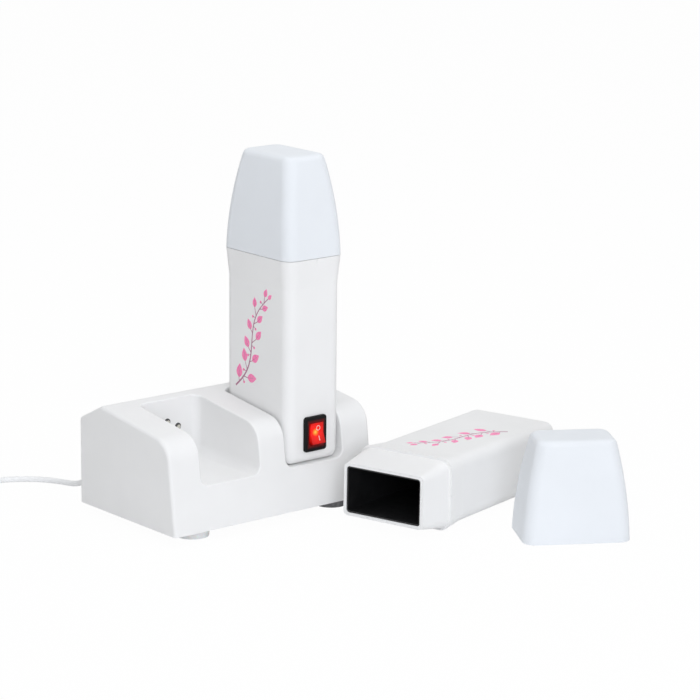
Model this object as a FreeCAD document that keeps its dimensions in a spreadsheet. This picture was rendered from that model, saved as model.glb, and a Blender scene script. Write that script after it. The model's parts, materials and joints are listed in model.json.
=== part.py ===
import FreeCAD, Part
import math
import os
import re

import Sketcher

# Twin dock for two roll-on wax heaters: a base with two bays, one heater standing capped in the
# right bay, the other heater lying beside the dock and its cap standing on the table.
# Frames: "dock" has its origin on the table under the middle of the base, +X to the right,
# +Y to the back, +Z up. "heater" has its origin at the middle of the heater's bottom end,
# +Z to the mouth, X through the thin side (print on -X), Y across the broad side (switch on -Y).

doc = FreeCAD.newDocument("roll_on_wax_heater")
sheet = doc.addObject("Spreadsheet::Sheet", "Size")

SIZES = {
    # dock base
    "base_length": 172.6,
    "back_room": 33.8,
    "front_lean": 8.2,
    "front_height": 63.2,
    "ridge_behind": 8.3,
    "ridge_height": 73.2,
    "back_height": 60.3,
    "front_round": 17.0,
    "ridge_round": 4.0,
    "back_round": 3.0,
    "end_round": 2.5,
    "base_wall": 2.6,
    "foot_height": 6.0,
    "foot_radius": 12.0,
    "foot_taper": 0.8,
    "foot_recess": 0.6,
    "foot_inset_x": 26.0,
    "foot_inset_y": 15.8,
    "cover_thickness": 2.5,
    "cover_gap": 0.45,
    "cover_screw_radius": 1.5,
    "cover_head_radius": 2.9,
    "cover_screw_length": 10.0,
    "boss_radius": 3.6,
    "boss_x": 13.0,
    "boss_front": 26.0,
    "boss_back": 8.0,
    # bays
    "bay_offset": 36.2,
    "bay_floor": 30.3,
    "bay_side_gap": 1.8,
    "bay_back_gap": 1.4,
    "bay_back_corner": 6.0,
    "bay_lip_round": 1.0,
    "heater_setback": 5.1,
    # contacts between dock and heater
    "contact_height": 55.5,
    "contact_drop": 4.4,
    "contact_offset": 9.1,
    "bushing_radius": 2.6,
    "stud_radius": 1.5,
    "stud_gap": 0.3,
    "stud_tail": 3.0,
    "pad_radius": 2.8,
    "pad_thickness": 3.0,
    "pad_flange": 1.2,
    "pad_fit": 0.1,
    "block_width": 28.0,
    "block_height": 18.0,
    "block_depth": 8.0,
    # heater body
    "side_room": 6.3,
    "face_room": 8.15,
    "heater_corner": 7.5,
    "heater_bottom_round": 6.5,
    "heater_wall": 2.2,
    "flare_start": 123.4,
    "ridge_level": 142.9,
    "flare": 1.8,
    "nose_length": 27.5,
    "nose_wall": 2.2,
    "nose_corner": 3.5,
    "cavity_top": 130.4,
    "parting_gap": 0.02,
    "tick_length": 6.0,
    "tick_width": 0.7,
    "tick_depth": 0.6,
    # cartridge sleeve and what heats it
    "mouth_width": 57.4,
    "mouth_thickness": 30.4,
    "mouth_corner": 1.2,
    "sleeve_wall": 1.0,
    "sleeve_gap": 0.1,
    "sleeve_bottom": 46.0,
    "sleeve_floor": 1.2,
    "sleeve_recess": 0.6,
    "plate_inset": 3.7,
    "plate_length": 72.0,
    "plate_thickness": 2.0,
    "plate_level": 52.0,
    "element_margin": 5.0,
    "element_thickness": 1.0,
    "cutout_radius": 7.0,
    "cutout_cap": 3.0,
    "cutout_width": 14.0,
    "cutout_base": 3.5,
    # case screws of the heater
    "case_screw_radius": 1.4,
    "case_head_radius": 2.6,
    "case_head_height": 2.0,
    "case_boss_radius": 4.0,
    "case_head_level": 8.0,
    "case_screw_reach": 10.0,
    "case_boss_bite": 1.0,
    "case_screw_y": 26.0,
    "case_screw_high": 37.5,
    "case_screw_low": 9.5,
    "case_screw_mid": 8.0,
    # rocker switch
    "switch_level": 20.6,
    "bezel_width": 19.2,
    "bezel_height": 24.8,
    "bezel_corner": 2.2,
    "bezel_proud": 2.2,
    "switch_body_width": 15.0,
    "switch_body_height": 19.6,
    "switch_body_depth": 14.0,
    "switch_fit": 0.1,
    "well_width": 11.9,
    "well_height": 15.8,
    "well_depth": 11.0,
    "rocker_width": 11.2,
    "rocker_half": 7.2,
    "rocker_back": 3.5,
    "rocker_back_half": 5.5,
    "rocker_valley": 2.6,
    "rocker_tilt": 11.0,
    "rocker_pivot_depth": 1.8,
    "axle_radius": 1.2,
    "axle_fit": 0.05,
    "lamp_radius": 1.7,
    "lamp_length": 8.0,
    "lamp_depth": 7.0,
    "terminal_width": 4.8,
    "terminal_thickness": 0.8,
    "terminal_length": 6.0,
    "terminal_pitch": 6.5,
    # cap
    "cap_height": 69.0,
    "cap_wall": 1.3,
    "cap_top_width": 54.0,
    "cap_top_thickness": 34.0,
    "cap_bulge": 1.8,
    "cap_corner": 8.5,
    "cap_top_round": 5.0,
    "cap_side_angle": 12.0,
    "cap_seat_gap": 0.3,
    "cap_side_gap": 0.25,
    # where the loose pieces lie
    "lying_x": 207.7,
    "lying_y": -68.35,
    "lying_angle": 195.7,
    "loose_cap_x": 142.9,
    "loose_cap_y": -194.25,
    "loose_cap_angle": 58.5,
    # mains cord
    "cord_diameter": 4.0,
    "cord_exit_x": -55.0,
    "cord_exit_level": 12.0,
    "relief_length": 16.0,
    "relief_radius": 4.6,
    "relief_end_radius": 3.0,
    "gland_radius": 2.6,
    "flange_radius": 3.3,
    "flange_thickness": 1.6,
    "coil_turn_diameter": 44.0,
    "coil_x": -160.0,
    "coil_y": 108.0,
    "coil_rows": 4.0,
    "coil_layers": 2.0,
    "tie_width": 5.0,
    "tie_thickness": 0.8,
    "plug_length": 34.0,
    "plug_width": 35.0,
    "plug_height": 14.0,
    "plug_straight": 18.0,
    "plug_neck_width": 12.0,
    "plug_corner": 8.0,
    "plug_edge_round": 3.0,
    "plug_lead_length": 26.0,
    "pin_radius": 2.0,
    "pin_length": 19.0,
    "pin_spacing": 18.6,
    # terminal block and leads inside the dock
    "terminal_block_width": 26.0,
    "terminal_block_depth": 12.0,
    "terminal_block_height": 11.0,
    "terminal_clearance": 9.3,
    "wire_hole_radius": 1.6,
    "wire_pitch": 8.0,
    "lead_radius": 1.0,
    "lead_height": 5.0,
    "lead_back": 4.5,
    "lead_layer": 2.6,
    "running_gap": 0.2,
}

# Sizes that follow from the ones above: the case grows round its cartridge and the base round the case.
DERIVED = {
    "heater_width": "mouth_width + 2 * side_room",
    "heater_thickness": "mouth_thickness + 2 * face_room",
    "nose_tip_width": "mouth_width + 2 * (sleeve_wall + sleeve_gap + nose_wall)",
    "nose_tip_thickness": "mouth_thickness + 2 * (sleeve_wall + sleeve_gap + nose_wall)",
    "plate_width": "mouth_width - 2 * plate_inset",
    "bay_reach": "heater_setback + heater_width + bay_back_gap",
    "base_depth": "bay_reach + back_room",
    "ridge_back": "bay_reach + ridge_behind",
    "bay_width": "heater_thickness + 2 * bay_side_gap",
    "bay_back": "bay_reach - base_depth / 2",
    "bay_level": "foot_height + bay_floor",
    "cover_top": "foot_height + cover_thickness",
    "terminal_block_y": "base_depth / 2 - base_wall - terminal_clearance - terminal_block_depth / 2",
    "strand_radius": "(coil_turn_diameter + (coil_rows - 1) * cord_diameter) / 2",
    "sleeve_width": "mouth_width + 2 * sleeve_wall",
    "sleeve_thickness": "mouth_thickness + 2 * sleeve_wall",
    "tip_level": "ridge_level + nose_length",
    "pivot_y": "rocker_pivot_depth - heater_width / 2 - bezel_proud",
}


def fill_sheet():
    for row, (name, number) in enumerate(SIZES.items(), start=1):
        sheet.set(f"A{row}", name)
        sheet.set(f"B{row}", str(number))
        sheet.setAlias(f"B{row}", name)
    doc.recompute()


def size(name):
    """The value of one cell of the sheet, in millimetres or degrees."""
    return float(sheet.get(name))


def bound(text):
    """Turns the size names in an expression into references to the sheet."""

    def reference(match):
        name = match.group()
        if name in DERIVED:
            return f"({bound(DERIVED[name])})"
        return f"Size.{name}" if name in SIZES else name

    return re.sub(r"[A-Za-z_]\w*", reference, text)


def bind(obj, prop, text):
    obj.setExpression(prop, bound(str(text)))


def place(obj, x="0", y="0", z="0", turn=None):
    """Binds an object's position; turn is a rotation fixed by the form, such as a lying axis."""
    if turn is not None:
        obj.Placement = FreeCAD.Placement(FreeCAD.Vector(), turn)
    bind(obj, "Placement.Base.x", x)
    bind(obj, "Placement.Base.y", y)
    bind(obj, "Placement.Base.z", z)
    return obj


def evaluate(text):
    """The value of an expression of size names."""
    probe = doc.addObject("App::FeaturePython", "probe")
    probe.addProperty("App::PropertyFloat", "Value")
    bind(probe, "Value", text)
    doc.recompute()
    value = probe.Value
    doc.removeObject(probe.Name)
    return value


DOCK = FreeCAD.Placement()
ALONG_X = FreeCAD.Rotation(FreeCAD.Vector(0, 1, 0), 90)
ALONG_Y = FreeCAD.Rotation(FreeCAD.Vector(1, 0, 0), -90)


def box(name, length, width, height, x, y, z):
    """A box from its three sizes, with x and y at its middle and z at its underside."""
    obj = doc.addObject("Part::Box", name)
    bind(obj, "Length", length)
    bind(obj, "Width", width)
    bind(obj, "Height", height)
    return place(obj, f"{x} - ({length}) / 2", f"{y} - ({width}) / 2", z)


def cylinder(name, radius, height, x, y, z, turn=None):
    obj = doc.addObject("Part::Cylinder", name)
    bind(obj, "Radius", radius)
    bind(obj, "Height", height)
    return place(obj, x, y, z, turn)


def cone(name, radius, end_radius, height, x, y, z, turn=None):
    obj = doc.addObject("Part::Cone", name)
    bind(obj, "Radius1", radius)
    bind(obj, "Radius2", end_radius)
    bind(obj, "Height", height)
    return place(obj, x, y, z, turn)


def fuse(name, *shapes):
    obj = doc.addObject("Part::MultiFuse", name)
    obj.Shapes = list(shapes)
    return obj


def cut(name, base, *tools):
    obj = doc.addObject("Part::Cut", name)
    obj.Base = base
    obj.Tool = tools[0] if len(tools) == 1 else fuse(f"{name}_tools", *tools)
    return obj


def common(name, first, second):
    obj = doc.addObject("Part::Common", name)
    obj.Base = first
    obj.Tool = second
    return obj


def origin_plane(body, role):
    for feature in body.Origin.OriginFeatures:
        if feature.Role == role:
            return feature
    raise ValueError(f"no plane {role}")


def new_sketch(body, name, plane, offset="0", rise="0"):
    sketch = body.newObject("Sketcher::SketchObject", name)
    sketch.AttachmentSupport = [(origin_plane(body, plane), "")]
    sketch.MapMode = "FlatFace"
    bind(sketch, "AttachmentOffset.Base.z", offset)
    bind(sketch, "AttachmentOffset.Base.y", rise)
    return sketch


def polygon_sketch(body, name, plane, points, offset="0"):
    """A closed polygon whose corners are bound to pairs of expressions."""
    sketch = new_sketch(body, name, plane, offset)
    spots = [FreeCAD.Vector(evaluate(across), evaluate(up), 0) for across, up in points]
    count = len(spots)
    for index, spot in enumerate(spots):
        sketch.addGeometry(Part.LineSegment(spot, spots[(index + 1) % count]), False)
    for index in range(count):
        sketch.addConstraint(Sketcher.Constraint("Coincident", index, 2, (index + 1) % count, 1))
    for index, pair in enumerate(points):
        for axis, text, value in zip("XY", pair, (spots[index].x, spots[index].y)):
            number = sketch.addConstraint(Sketcher.Constraint(f"Distance{axis}", index, 1, value))
            bind(sketch, f"Constraints[{number}]", text)
    return sketch


def rounded_sketch(body, name, width_x, width_y, radius, offset="0", plane="XY_Plane", rise="0"):
    """A rectangle with rounded corners, centred on the plane's origin or raised above it."""
    sketch = new_sketch(body, name, plane, offset, rise)
    half_x, half_y, corner = 20.0, 14.0, 4.0
    inner_x, inner_y = half_x - corner, half_y - corner
    sides = [
        ((-inner_x, -half_y), (inner_x, -half_y)),
        ((half_x, -inner_y), (half_x, inner_y)),
        ((inner_x, half_y), (-inner_x, half_y)),
        ((-half_x, inner_y), (-half_x, -inner_y)),
    ]
    for start, end in sides:
        segment = Part.LineSegment(FreeCAD.Vector(*start, 0), FreeCAD.Vector(*end, 0))
        sketch.addGeometry(segment, False)
    centres = [(inner_x, -inner_y), (inner_x, inner_y), (-inner_x, inner_y), (-inner_x, -inner_y)]
    for index, centre in enumerate(centres):
        circle = Part.Circle(FreeCAD.Vector(*centre, 0), FreeCAD.Vector(0, 0, 1), corner)
        start = math.radians(90 * index - 90)
        sketch.addGeometry(Part.ArcOfCircle(circle, start, start + math.pi / 2), False)
    add = sketch.addConstraint
    for index in range(4):
        arc = 4 + index
        add(Sketcher.Constraint("Tangent", index, 2, arc, 1))
        add(Sketcher.Constraint("Tangent", arc, 2, (index + 1) % 4, 1))
        if index:
            add(Sketcher.Constraint("Equal", 4, arc))
    for index, kind in enumerate(("Horizontal", "Vertical", "Horizontal", "Vertical")):
        add(Sketcher.Constraint(kind, index))
    add(Sketcher.Constraint("Symmetric", 4, 3, 6, 3, -1, 1))
    bind_number(sketch, add(Sketcher.Constraint("Radius", 4, corner)), radius)
    across = Sketcher.Constraint("DistanceX", 6, 3, 4, 3, 2 * inner_x)
    bind_number(sketch, add(across), f"({width_x}) - 2 * ({radius})")
    along = Sketcher.Constraint("DistanceY", 4, 3, 6, 3, 2 * inner_y)
    bind_number(sketch, add(along), f"({width_y}) - 2 * ({radius})")
    return sketch


def bind_number(sketch, number, text):
    bind(sketch, f"Constraints[{number}]", text)


def new_body(name):
    return doc.addObject("PartDesign::Body", name)


def pad(body, name, sketch, length, midplane=False, reverse=False):
    feature = body.newObject("PartDesign::Pad", name)
    feature.Profile = sketch
    bind(feature, "Length", length)
    feature.Midplane = midplane
    feature.Reversed = reverse
    return feature


def pocket(body, name, sketch, length, reverse=False):
    feature = body.newObject("PartDesign::Pocket", name)
    feature.Profile = sketch
    bind(feature, "Length", length)
    feature.Reversed = reverse
    return feature


def loft(body, name, sketches, subtract=False, ruled=True):
    kind = "SubtractiveLoft" if subtract else "AdditiveLoft"
    feature = body.newObject(f"PartDesign::{kind}", name)
    feature.Profile = sketches[0]
    feature.Sections = sketches[1:]
    feature.Ruled = ruled
    return feature


def fillet(body, name, base, radius, test):
    """Rounds those edges of a feature for which the test on the edge is true."""
    doc.recompute()
    names = [f"Edge{n}" for n, edge in enumerate(base.Shape.Edges, start=1) if test(edge)]
    if not names:
        raise ValueError(f"{name} found no edge")
    feature = body.newObject("PartDesign::Fillet", name)
    feature.Base = (base, names)
    bind(feature, "Radius", radius)
    return feature


def middle(edge):
    return edge.valueAt((edge.FirstParameter + edge.LastParameter) / 2)


def near(first, second, room=0.01):
    return abs(first - second) < room


fill_sheet()
subparts = []


def subpart(label, frame, *shapes):
    """One named sub-part: its solids, placed in the row by the frame that they were drawn in."""
    obj = doc.addObject("Part::Compound", label)
    obj.Label = label
    obj.Links = list(shapes)
    obj.Placement = frame
    subparts.append(obj)
    return obj


def path_wire(points, radius_share=0.45):
    """Straight runs between the points, joined by tangent arcs as large as the runs allow."""
    spots = [FreeCAD.Vector(*point) for point in points]
    edges = []
    radii = []
    start = spots[0]
    for index in range(1, len(spots) - 1):
        before = spots[index] - spots[index - 1]
        after = spots[index + 1] - spots[index]
        turn = before.getAngle(after)
        reach = radius_share * min(before.Length, after.Length)
        radii.append(reach / math.tan(turn / 2))
        before.normalize()
        after.normalize()
        first = spots[index] - before * reach
        last = spots[index] + after * reach
        bisector = (last - spots[index]) + (first - spots[index])
        depth = radii[-1] / math.cos(turn / 2) - radii[-1]
        bisector.normalize()
        mid = spots[index] + bisector * depth
        edges.append(Part.LineSegment(start, first).toShape())
        edges.append(Part.Arc(first, mid, last).toShape())
        start = last
    edges.append(Part.LineSegment(start, spots[-1]).toShape())
    return Part.Wire(edges), radii


def tube(name, points, radius):
    """A round tube along a path; its volume is compared with its section times its length."""
    wire, radii = path_wire(points)
    direction = FreeCAD.Vector(*points[1]) - FreeCAD.Vector(*points[0])
    ring = Part.Wire(Part.makeCircle(radius, FreeCAD.Vector(*points[0]), direction))
    shape = wire.makePipeShell([ring], True, True)
    expected = math.pi * radius ** 2 * wire.Length
    least = min(radii, default=math.inf)
    print(f"{name}: length {wire.Length:.1f}, least radius {least:.1f}, "
          f"volume {shape.Volume:.1f}, expected {expected:.1f}")
    if abs(shape.Volume - expected) > 0.01 * expected:
        raise ValueError(f"{name} has the wrong volume")
    obj = doc.addObject("Part::Feature", name)
    obj.Shape = shape
    return obj


# ---------------------------------------------------------------- dock base

BAYS = {"left": "-bay_offset", "right": "bay_offset"}


def profile_corners(inset):
    """The base's side profile, moved inwards by the inset, from the front foot upwards."""
    front = f"-base_depth / 2 + {inset}"
    back = f"base_depth / 2 - {inset}"
    return [
        (front, "foot_height"),
        (f"{front} + front_lean", f"foot_height + front_height - {inset}"),
        ("-base_depth / 2 + ridge_back", f"foot_height + ridge_height - {inset}"),
        (back, f"foot_height + back_height - {inset}"),
        (back, "foot_height"),
    ]


def profile_prism(name, inset, length, rounds):
    """A prism of the side profile with its three long upper edges rounded."""
    body = new_body(name)
    sketch = polygon_sketch(body, f"{name}_profile", "YZ_Plane", profile_corners(inset))
    feature = pad(body, f"{name}_pad", sketch, length, midplane=True)
    for index, radius in zip((1, 2, 3), rounds):
        y, z = (evaluate(text) for text in profile_corners(inset)[index])
        feature = fillet(
            body, f"{name}_round_{index}", feature, radius,
            lambda edge: near(middle(edge).x, 0) and near(middle(edge).y, y)
            and near(middle(edge).z, z))
    return body, feature


def bay_faces(shape, bay_x):
    """The walls, floor and inner rounds of one bay."""
    half = evaluate("bay_width") / 2 + 0.01
    back = evaluate("bay_back") + 0.01
    floor = evaluate("bay_level") - 0.01
    found = []
    for face in shape.Faces:
        room = face.BoundBox
        inside = bay_x - half < room.XMin and room.XMax < bay_x + half
        if inside and room.YMax < back and room.ZMin > floor:
            found.append(face)
    return found


def bay_lips(shape):
    """A test for the edges where a bay meets the outer faces of the base."""
    faces = [face for text in BAYS.values() for face in bay_faces(shape, evaluate(text))]

    def is_lip(edge):
        owners = shape.ancestorsOfType(edge, Part.Face)
        return sum(any(owner.isSame(face) for face in faces) for owner in owners) == 1

    return is_lip


def base_housing():
    length = size("base_length")
    rounds = ("front_round", "ridge_round", "back_round")
    body, feature = profile_prism("housing_form", "0", "base_length", rounds)
    under = size("foot_height")
    feature = fillet(
        body, "housing_ends", feature, "end_round",
        lambda edge: near(abs(middle(edge).x), length / 2) and middle(edge).z > under + 0.01)
    bays = []
    for side, bay_x in BAYS.items():
        left = f"{bay_x} - bay_width / 2"
        right = f"{bay_x} + bay_width / 2"
        top = "foot_height + ridge_height + 20"
        corners = [(left, "bay_level"), (right, "bay_level"), (right, top), (left, top)]
        sketch = polygon_sketch(body, f"bay_{side}_outline", "XZ_Plane", corners, "-bay_back")
        feature = pocket(body, f"bay_{side}", sketch, "base_depth + 20", reverse=True)
        bays.append(evaluate(bay_x))
    doc.recompute()
    half = evaluate("bay_width") / 2
    back = evaluate("bay_back")
    floor = evaluate("bay_level")

    def at_wall(point):
        return any(near(abs(point.x - bay), half) for bay in bays)

    feature = fillet(
        body, "bay_corners", feature, "heater_bottom_round + running_gap",
        lambda edge: at_wall(middle(edge)) and near(middle(edge).z, floor))
    feature = fillet(
        body, "bay_back_corners", feature, "bay_back_corner",
        lambda edge: at_wall(middle(edge)) and near(middle(edge).y, back)
        and near(edge.BoundBox.YLength, 0))
    doc.recompute()
    feature = fillet(body, "bay_lips", feature, "bay_lip_round", bay_lips(feature.Shape))
    return body


BOSS_SPOTS = [
    (f"{way} * (bay_offset + boss_x)", boss_y)
    for way in (-1, 1) for boss_y in ("-boss_front", "boss_back")
]
CONTACT_SPOTS = [
    ("-contact_offset", "contact_height - contact_drop"),
    ("0", "contact_height"),
    ("contact_offset", "contact_height - contact_drop"),
]


def dock_cavity():
    """The hollow of the housing: its inner form less the walls and floors of the bays."""
    least = "base_wall / 4"
    rounds = [f"max({name} - base_wall; {least})" for name in ("front_round", "ridge_round", "back_round")]
    form, _ = profile_prism("cavity_form", "base_wall", "base_length - 2 * base_wall", rounds)
    walls = []
    for side, bay_x in BAYS.items():
        walls.append(box(
            f"bay_walls_{side}", "bay_width + 2 * base_wall", "bay_back + base_wall + base_depth",
            "ridge_height", bay_x, "(bay_back + base_wall - base_depth) / 2", "bay_level - base_wall"))
    return cut("dock_cavity", form, *walls)


def dock_housing():
    hollow = cut("housing_hollow", base_housing(), dock_cavity())
    bosses = []
    holes = []
    for index, (x, y) in enumerate(BOSS_SPOTS):
        rise = "bay_level - base_wall - cover_top"
        bosses.append(cylinder(f"boss_{index}", "boss_radius", rise, x, y, "cover_top"))
        holes.append(cylinder(
            f"boss_hole_{index}", "cover_screw_radius", "cover_screw_length", x, y, "foot_height"))
    for side, bay_x in BAYS.items():
        for index, (across, level) in enumerate(CONTACT_SPOTS):
            holes.append(cylinder(
                f"bushing_hole_{side}_{index}", "bushing_radius + pad_fit", "3 * base_wall",
                f"{bay_x} + {across}", "bay_back - base_wall", f"foot_height + {level}", ALONG_Y))
    holes.append(cylinder(
        "gland_hole", "gland_radius", "4 * base_wall",
        "cord_exit_x", "base_depth / 2 - 2 * base_wall", "cord_exit_level", ALONG_Y))
    return subpart("base_housing", DOCK, cut("housing", fuse("housing_body", hollow, *bosses), *holes))


FOOT_SPOTS = {
    f"{row}_{side}": (f"{sign_x} * (base_length / 2 - foot_inset_x)",
                      f"{sign_y} * (base_depth / 2 - foot_inset_y)")
    for row, sign_y in (("front", -1), ("rear", 1)) for side, sign_x in (("left", -1), ("right", 1))
}


def dock_underside():
    edge = "2 * (base_wall + cover_gap)"
    plate = box(
        "cover_plate", f"base_length - {edge}", f"base_depth - {edge}", "cover_thickness",
        "0", "0", "foot_height")
    holes = []
    screws = []
    for index, (x, y) in enumerate(BOSS_SPOTS):
        sink = "cover_head_radius - cover_screw_radius"
        for kind, group in (("hole", holes), ("screw", screws)):
            group.append(fuse(
                f"cover_{kind}_{index}",
                cone(f"cover_{kind}_head_{index}", "cover_head_radius", "cover_screw_radius", sink,
                     x, y, "foot_height"),
                cylinder(f"cover_{kind}_shank_{index}", "cover_screw_radius",
                         "cover_screw_length", x, y, "foot_height")))
    for spot, (x, y) in FOOT_SPOTS.items():
        holes.append(cylinder(f"recess_{spot}", "foot_radius", "foot_recess", x, y, "foot_height"))
        subpart(f"foot_{spot}", DOCK, fuse(
            f"foot_{spot}_form",
            cone(f"foot_{spot}_pad", "foot_radius - foot_taper", "foot_radius", "foot_height",
                 x, y, "0"),
            cylinder(f"foot_{spot}_seat", "foot_radius", "foot_recess", x, y, "foot_height")))
    subpart("bottom_cover", DOCK, cut("cover", plate, *holes))
    subpart("cover_screws", DOCK, *screws)


def dock_contacts():
    """Three studs for each bay, in a moulded block whose bushings fill holes in the back wall."""
    for side, bay_x in BAYS.items():
        plastic = [box(
            f"contact_carrier_{side}", "block_width", "block_depth", "block_height",
            bay_x, "bay_back + base_wall + block_depth / 2",
            "foot_height + contact_height - (contact_drop + block_height) / 2")]
        studs = []
        holes = []
        for index, (across, level) in enumerate(CONTACT_SPOTS):
            x = f"{bay_x} + {across}"
            z = f"foot_height + {level}"
            plastic.append(cylinder(
                f"bushing_{side}_{index}", "bushing_radius", "base_wall + block_depth / 2",
                x, "bay_back", z, ALONG_Y))
            reach = "bay_back_gap - stud_gap + base_wall + block_depth + stud_tail"
            for kind, group in (("stud", studs), ("hole", holes)):
                group.append(cylinder(
                    f"contact_{kind}_{side}_{index}", "stud_radius", reach,
                    x, "bay_back - bay_back_gap + stud_gap", z, ALONG_Y))
        block = cut(f"contact_block_form_{side}", fuse(f"contact_plastic_{side}", *plastic), *holes)
        subpart(f"contact_block_{side}", DOCK, block)
        subpart(f"contact_studs_{side}", DOCK, *studs)


def lead(name, points):
    """A stiff insulated wire of straight runs with mitred corners."""
    spots = [FreeCAD.Vector(*point) for point in points]
    wire = Part.makePolygon(spots)
    circle = Part.makeCircle(size("lead_radius"), spots[0], spots[1] - spots[0])
    mitred = 1
    obj = doc.addObject("Part::Feature", name)
    obj.Shape = wire.makePipeShell([Part.Wire(circle)], True, False, mitred)
    return obj


def dock_wiring():
    """A three-pole terminal block with a lead to each stud, and the two supply leads."""
    middle_y = "terminal_block_y"
    block = box(
        "terminal_form", "terminal_block_width", "terminal_block_depth", "terminal_block_height",
        "0", middle_y, "cover_top")
    wells = []
    for pole in (-1, 0, 1):
        wells.append(cylinder(
            f"clamp_well_{pole + 1}", "wire_hole_radius", "terminal_block_height / 2",
            f"{pole} * wire_pitch", middle_y, "cover_top + terminal_block_height / 2"))
    subpart("terminal_block", DOCK, cut("terminal_block_form", block, *wells))
    level = evaluate("cover_top + lead_height")
    back = evaluate("terminal_block_y + terminal_block_depth / 2")
    tail = evaluate("bay_back + base_wall + block_depth + stud_tail")
    for layer, (side, bay_x) in enumerate(BAYS.items()):
        turn = evaluate(f"base_depth / 2 - base_wall - lead_back - {layer} * lead_layer")
        leads = []
        for pole, (across, height) in zip((-1, 0, 1), CONTACT_SPOTS):
            x = evaluate(f"{bay_x} + {across}")
            z = evaluate(f"foot_height + {height}")
            start = evaluate(f"{pole} * wire_pitch + ({layer} - 0.5) * lead_layer")
            route = [(start, back, level), (start, turn, level), (x, turn, z), (x, tail, z)]
            leads.append(lead(f"lead_{side}_{pole + 1}", route))
        subpart(f"leads_{side}", DOCK, *leads)
    supply = []
    inside = evaluate("base_depth / 2 - base_wall - flange_thickness")
    block_side = -size("terminal_block_width") / 2
    for way in (-1, 1):
        x = evaluate(f"cord_exit_x + {way} * lead_radius * 1.1")
        y = evaluate(f"{middle_y} + {way} * lead_layer")
        z = size("cord_exit_level")
        route = [(x, inside, z), (x, y, z), (block_side, y, z)]
        supply.append(lead(f"supply_lead_{way + 1}", route))
    subpart("supply_leads", DOCK, *supply)


# ---------------------------------------------------------------- mains cord


def mains_cord():
    radius = size("cord_diameter") / 2
    exit_x = size("cord_exit_x")
    exit_level = size("cord_exit_level")
    end = evaluate("base_depth / 2 + relief_length")
    relief = fuse(
        "relief_form",
        cone("relief_boot", "relief_radius", "relief_end_radius", "relief_length",
             "cord_exit_x", "base_depth / 2", "cord_exit_level", ALONG_Y),
        cylinder("relief_neck", "gland_radius", "base_wall",
                 "cord_exit_x", "base_depth / 2 - base_wall", "cord_exit_level", ALONG_Y),
        cylinder("relief_flange", "flange_radius", "flange_thickness",
                 "cord_exit_x", "base_depth / 2 - base_wall - flange_thickness",
                 "cord_exit_level", ALONG_Y))
    subpart("strain_relief", DOCK, relief)
    route = [
        (exit_x, end, exit_level),
        (exit_x, end + 10, exit_level),
        (exit_x - 0.3, end + 21.3, 6.9),
        (exit_x - 1.8, end + 32, radius),
        (exit_x - 6, end + 45, radius),
        (exit_x - 14.5, end + 59, radius),
        (exit_x - 29, end + 71, radius),
        (exit_x - 48, end + 77.5, radius),
        (exit_x - 68, end + 80, radius),
        (exit_x - 88.5, end + 75.5, radius),
        (size("coil_x"), evaluate("coil_y + strand_radius"), radius),
    ]
    subpart("mains_cord", DOCK, tube("cord_tube", route, radius))
    cord_coil()
    mains_plug()


def ring(name, room):
    """The outer form of the coil, larger all round by the room given."""
    half = "coil_turn_diameter / 2"
    across = "coil_rows * cord_diameter / 2"
    outer = cylinder(
        f"{name}_outer", f"{half} + {across} + {room}",
        f"coil_layers * cord_diameter + 2 * {room}", "coil_x", "coil_y", f"tie_thickness - {room}")
    inner = cylinder(
        f"{name}_inner", f"{half} - {across} - {room}",
        f"coil_layers * cord_diameter + 2 * {room}", "coil_x", "coil_y", f"tie_thickness - {room}")
    return cut(name, outer, inner)


def cord_coil():
    coil = ring("coil_ring", "0")
    subpart("cord_coil", DOCK, coil)
    sector = box(
        "tie_sector", "coil_turn_diameter", "tie_width", "coil_layers * cord_diameter * 2",
        "coil_x + coil_turn_diameter / 2", "coil_y", "0")
    band = common("tie_band", ring("tie_ring", "tie_thickness"), sector)
    subpart("cord_tie", DOCK, cut("tie_form", band, ring("tie_hole", "0")))


def mains_plug():
    x = "coil_x - strand_radius"
    neck_y = "coil_y - plug_lead_length"
    level = "plug_height / 2"
    lead = cylinder(
        "plug_lead_form", "cord_diameter / 2", "plug_lead_length", x, neck_y, level, ALONG_Y)
    subpart("plug_lead", DOCK, lead)
    body = new_body("plug_form")
    outline = [("plug_width / 2", "0"), ("plug_width / 2", "plug_straight"),
               ("plug_neck_width / 2", "plug_length")]
    corners = outline + [(f"-{across}", up) for across, up in reversed(outline)]
    sketch = polygon_sketch(body, "plug_outline", "XZ_Plane", corners)
    feature = pad(body, "plug_block", sketch, "plug_height", midplane=True)
    feature = fillet(body, "plug_waist", feature, "plug_corner",
                     lambda edge: near(middle(edge).z, size("plug_straight")))
    half = size("plug_height") / 2
    fillet(body, "plug_edges", feature, "plug_edge_round",
           lambda edge: near(abs(middle(edge).y), half))
    turned = FreeCAD.Placement(
        FreeCAD.Vector(evaluate(x), evaluate(f"{neck_y} - plug_length"), evaluate(level)), ALONG_Y)
    subpart("plug_body", DOCK.multiply(turned), body)
    pins = [
        cylinder(f"plug_pin_{way + 1}", "pin_radius", "pin_length",
                 f"{way} * pin_spacing / 2", "0", "-pin_length")
        for way in (-1, 1)
    ]
    subpart("plug_pins", DOCK.multiply(turned), *pins)


# ---------------------------------------------------------------- heater

CASE_SCREWS = [
    ("-case_screw_y", "case_screw_high"),
    ("case_screw_y", "case_screw_high"),
    ("case_screw_mid", "case_screw_low"),
]
PAD_SPOTS = [(across, f"{level} - bay_floor - running_gap") for across, level in CONTACT_SPOTS]


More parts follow.
